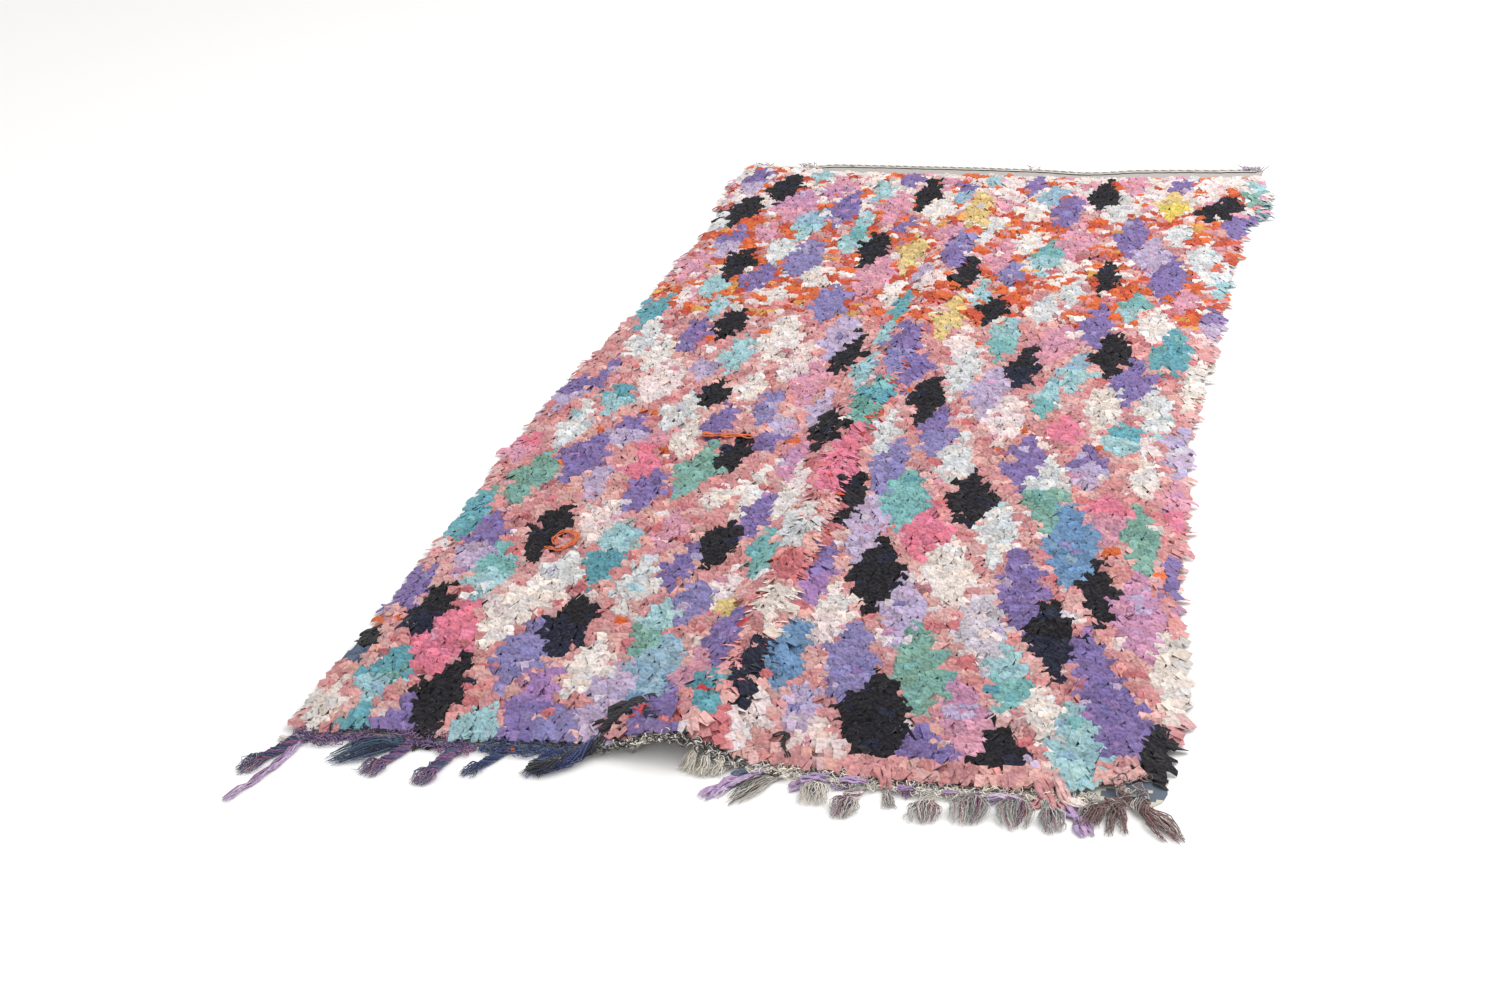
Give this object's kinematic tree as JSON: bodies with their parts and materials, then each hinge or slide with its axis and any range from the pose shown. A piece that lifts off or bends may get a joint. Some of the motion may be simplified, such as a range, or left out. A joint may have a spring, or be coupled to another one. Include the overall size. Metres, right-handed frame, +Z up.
{
  "type": "boucherouite rug",
  "caption": "Shaggy rag-pile rug lying flat, with a low lengthwise fold, a flat-woven end band and a tasselled warp fringe.",
  "frame": {"origin": "on the floor under the middle of the rug's box, fringe included", "axes": "+Z up out of the pile, +Y along the rug towards its flat-woven end band, with the tasselled end towards -Y"},
  "size_m": [1.3212, 2.6982, 0.0635],
  "materials": {
    "rag_pile": "cotton rag strips knotted in a deep ruffled pile",
    "plum_yarn": "twisted plum wool and lurex yarn",
    "navy_yarn": "twisted navy wool yarn",
    "cream_yarn": "loose cream and taupe wool yarn",
    "grey_yarn": "loose grey-taupe wool yarn",
    "rag_strip": "creased lilac rag strips"
  },
  "bodies": {
    "root": {"rag_pile_rug": "rag_pile", "fringe_left_plum": "plum_yarn", "fringe_left_navy": "navy_yarn", "fringe_middle_cream": "cream_yarn", "fringe_right_grey": "grey_yarn", "fringe_right_plum": "plum_yarn"}
  },
  "joints": []
}
